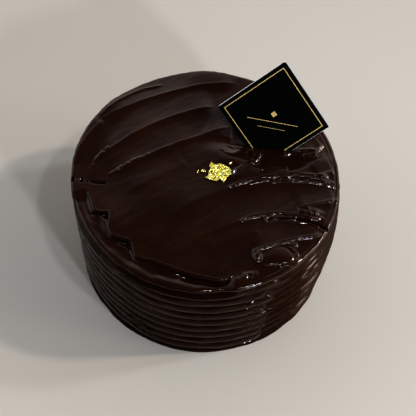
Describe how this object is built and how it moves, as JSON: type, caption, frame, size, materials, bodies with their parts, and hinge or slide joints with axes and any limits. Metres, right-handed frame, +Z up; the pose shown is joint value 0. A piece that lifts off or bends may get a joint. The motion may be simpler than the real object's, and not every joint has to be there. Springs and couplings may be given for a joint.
{
  "type": "chocolate fudge cake",
  "caption": "Round chocolate fudge cake with comb-ridged sides, a spatula-swept glossy top, a blank square topper card and torn gold leaf.",
  "frame": {"origin": "middle of the flat base, on the surface the cake stands on", "axes": "+Z up out of the top; the side seen in the picture faces -Y, with +X to its right"},
  "size_m": [0.1616, 0.1612, 0.1206],
  "materials": {
    "fudge_frosting": "glossy, dark chocolate fudge",
    "card_stock": "glossy coated card",
    "gold_leaf": "bright crinkled leaf"
  },
  "bodies": {
    "root": {"cake": "fudge_frosting", "topper_card": "card_stock", "gold_leaf": "gold_leaf", "gold_fleck_1": "gold_leaf", "gold_fleck_2": "gold_leaf", "gold_fleck_3": "gold_leaf"}
  },
  "joints": []
}
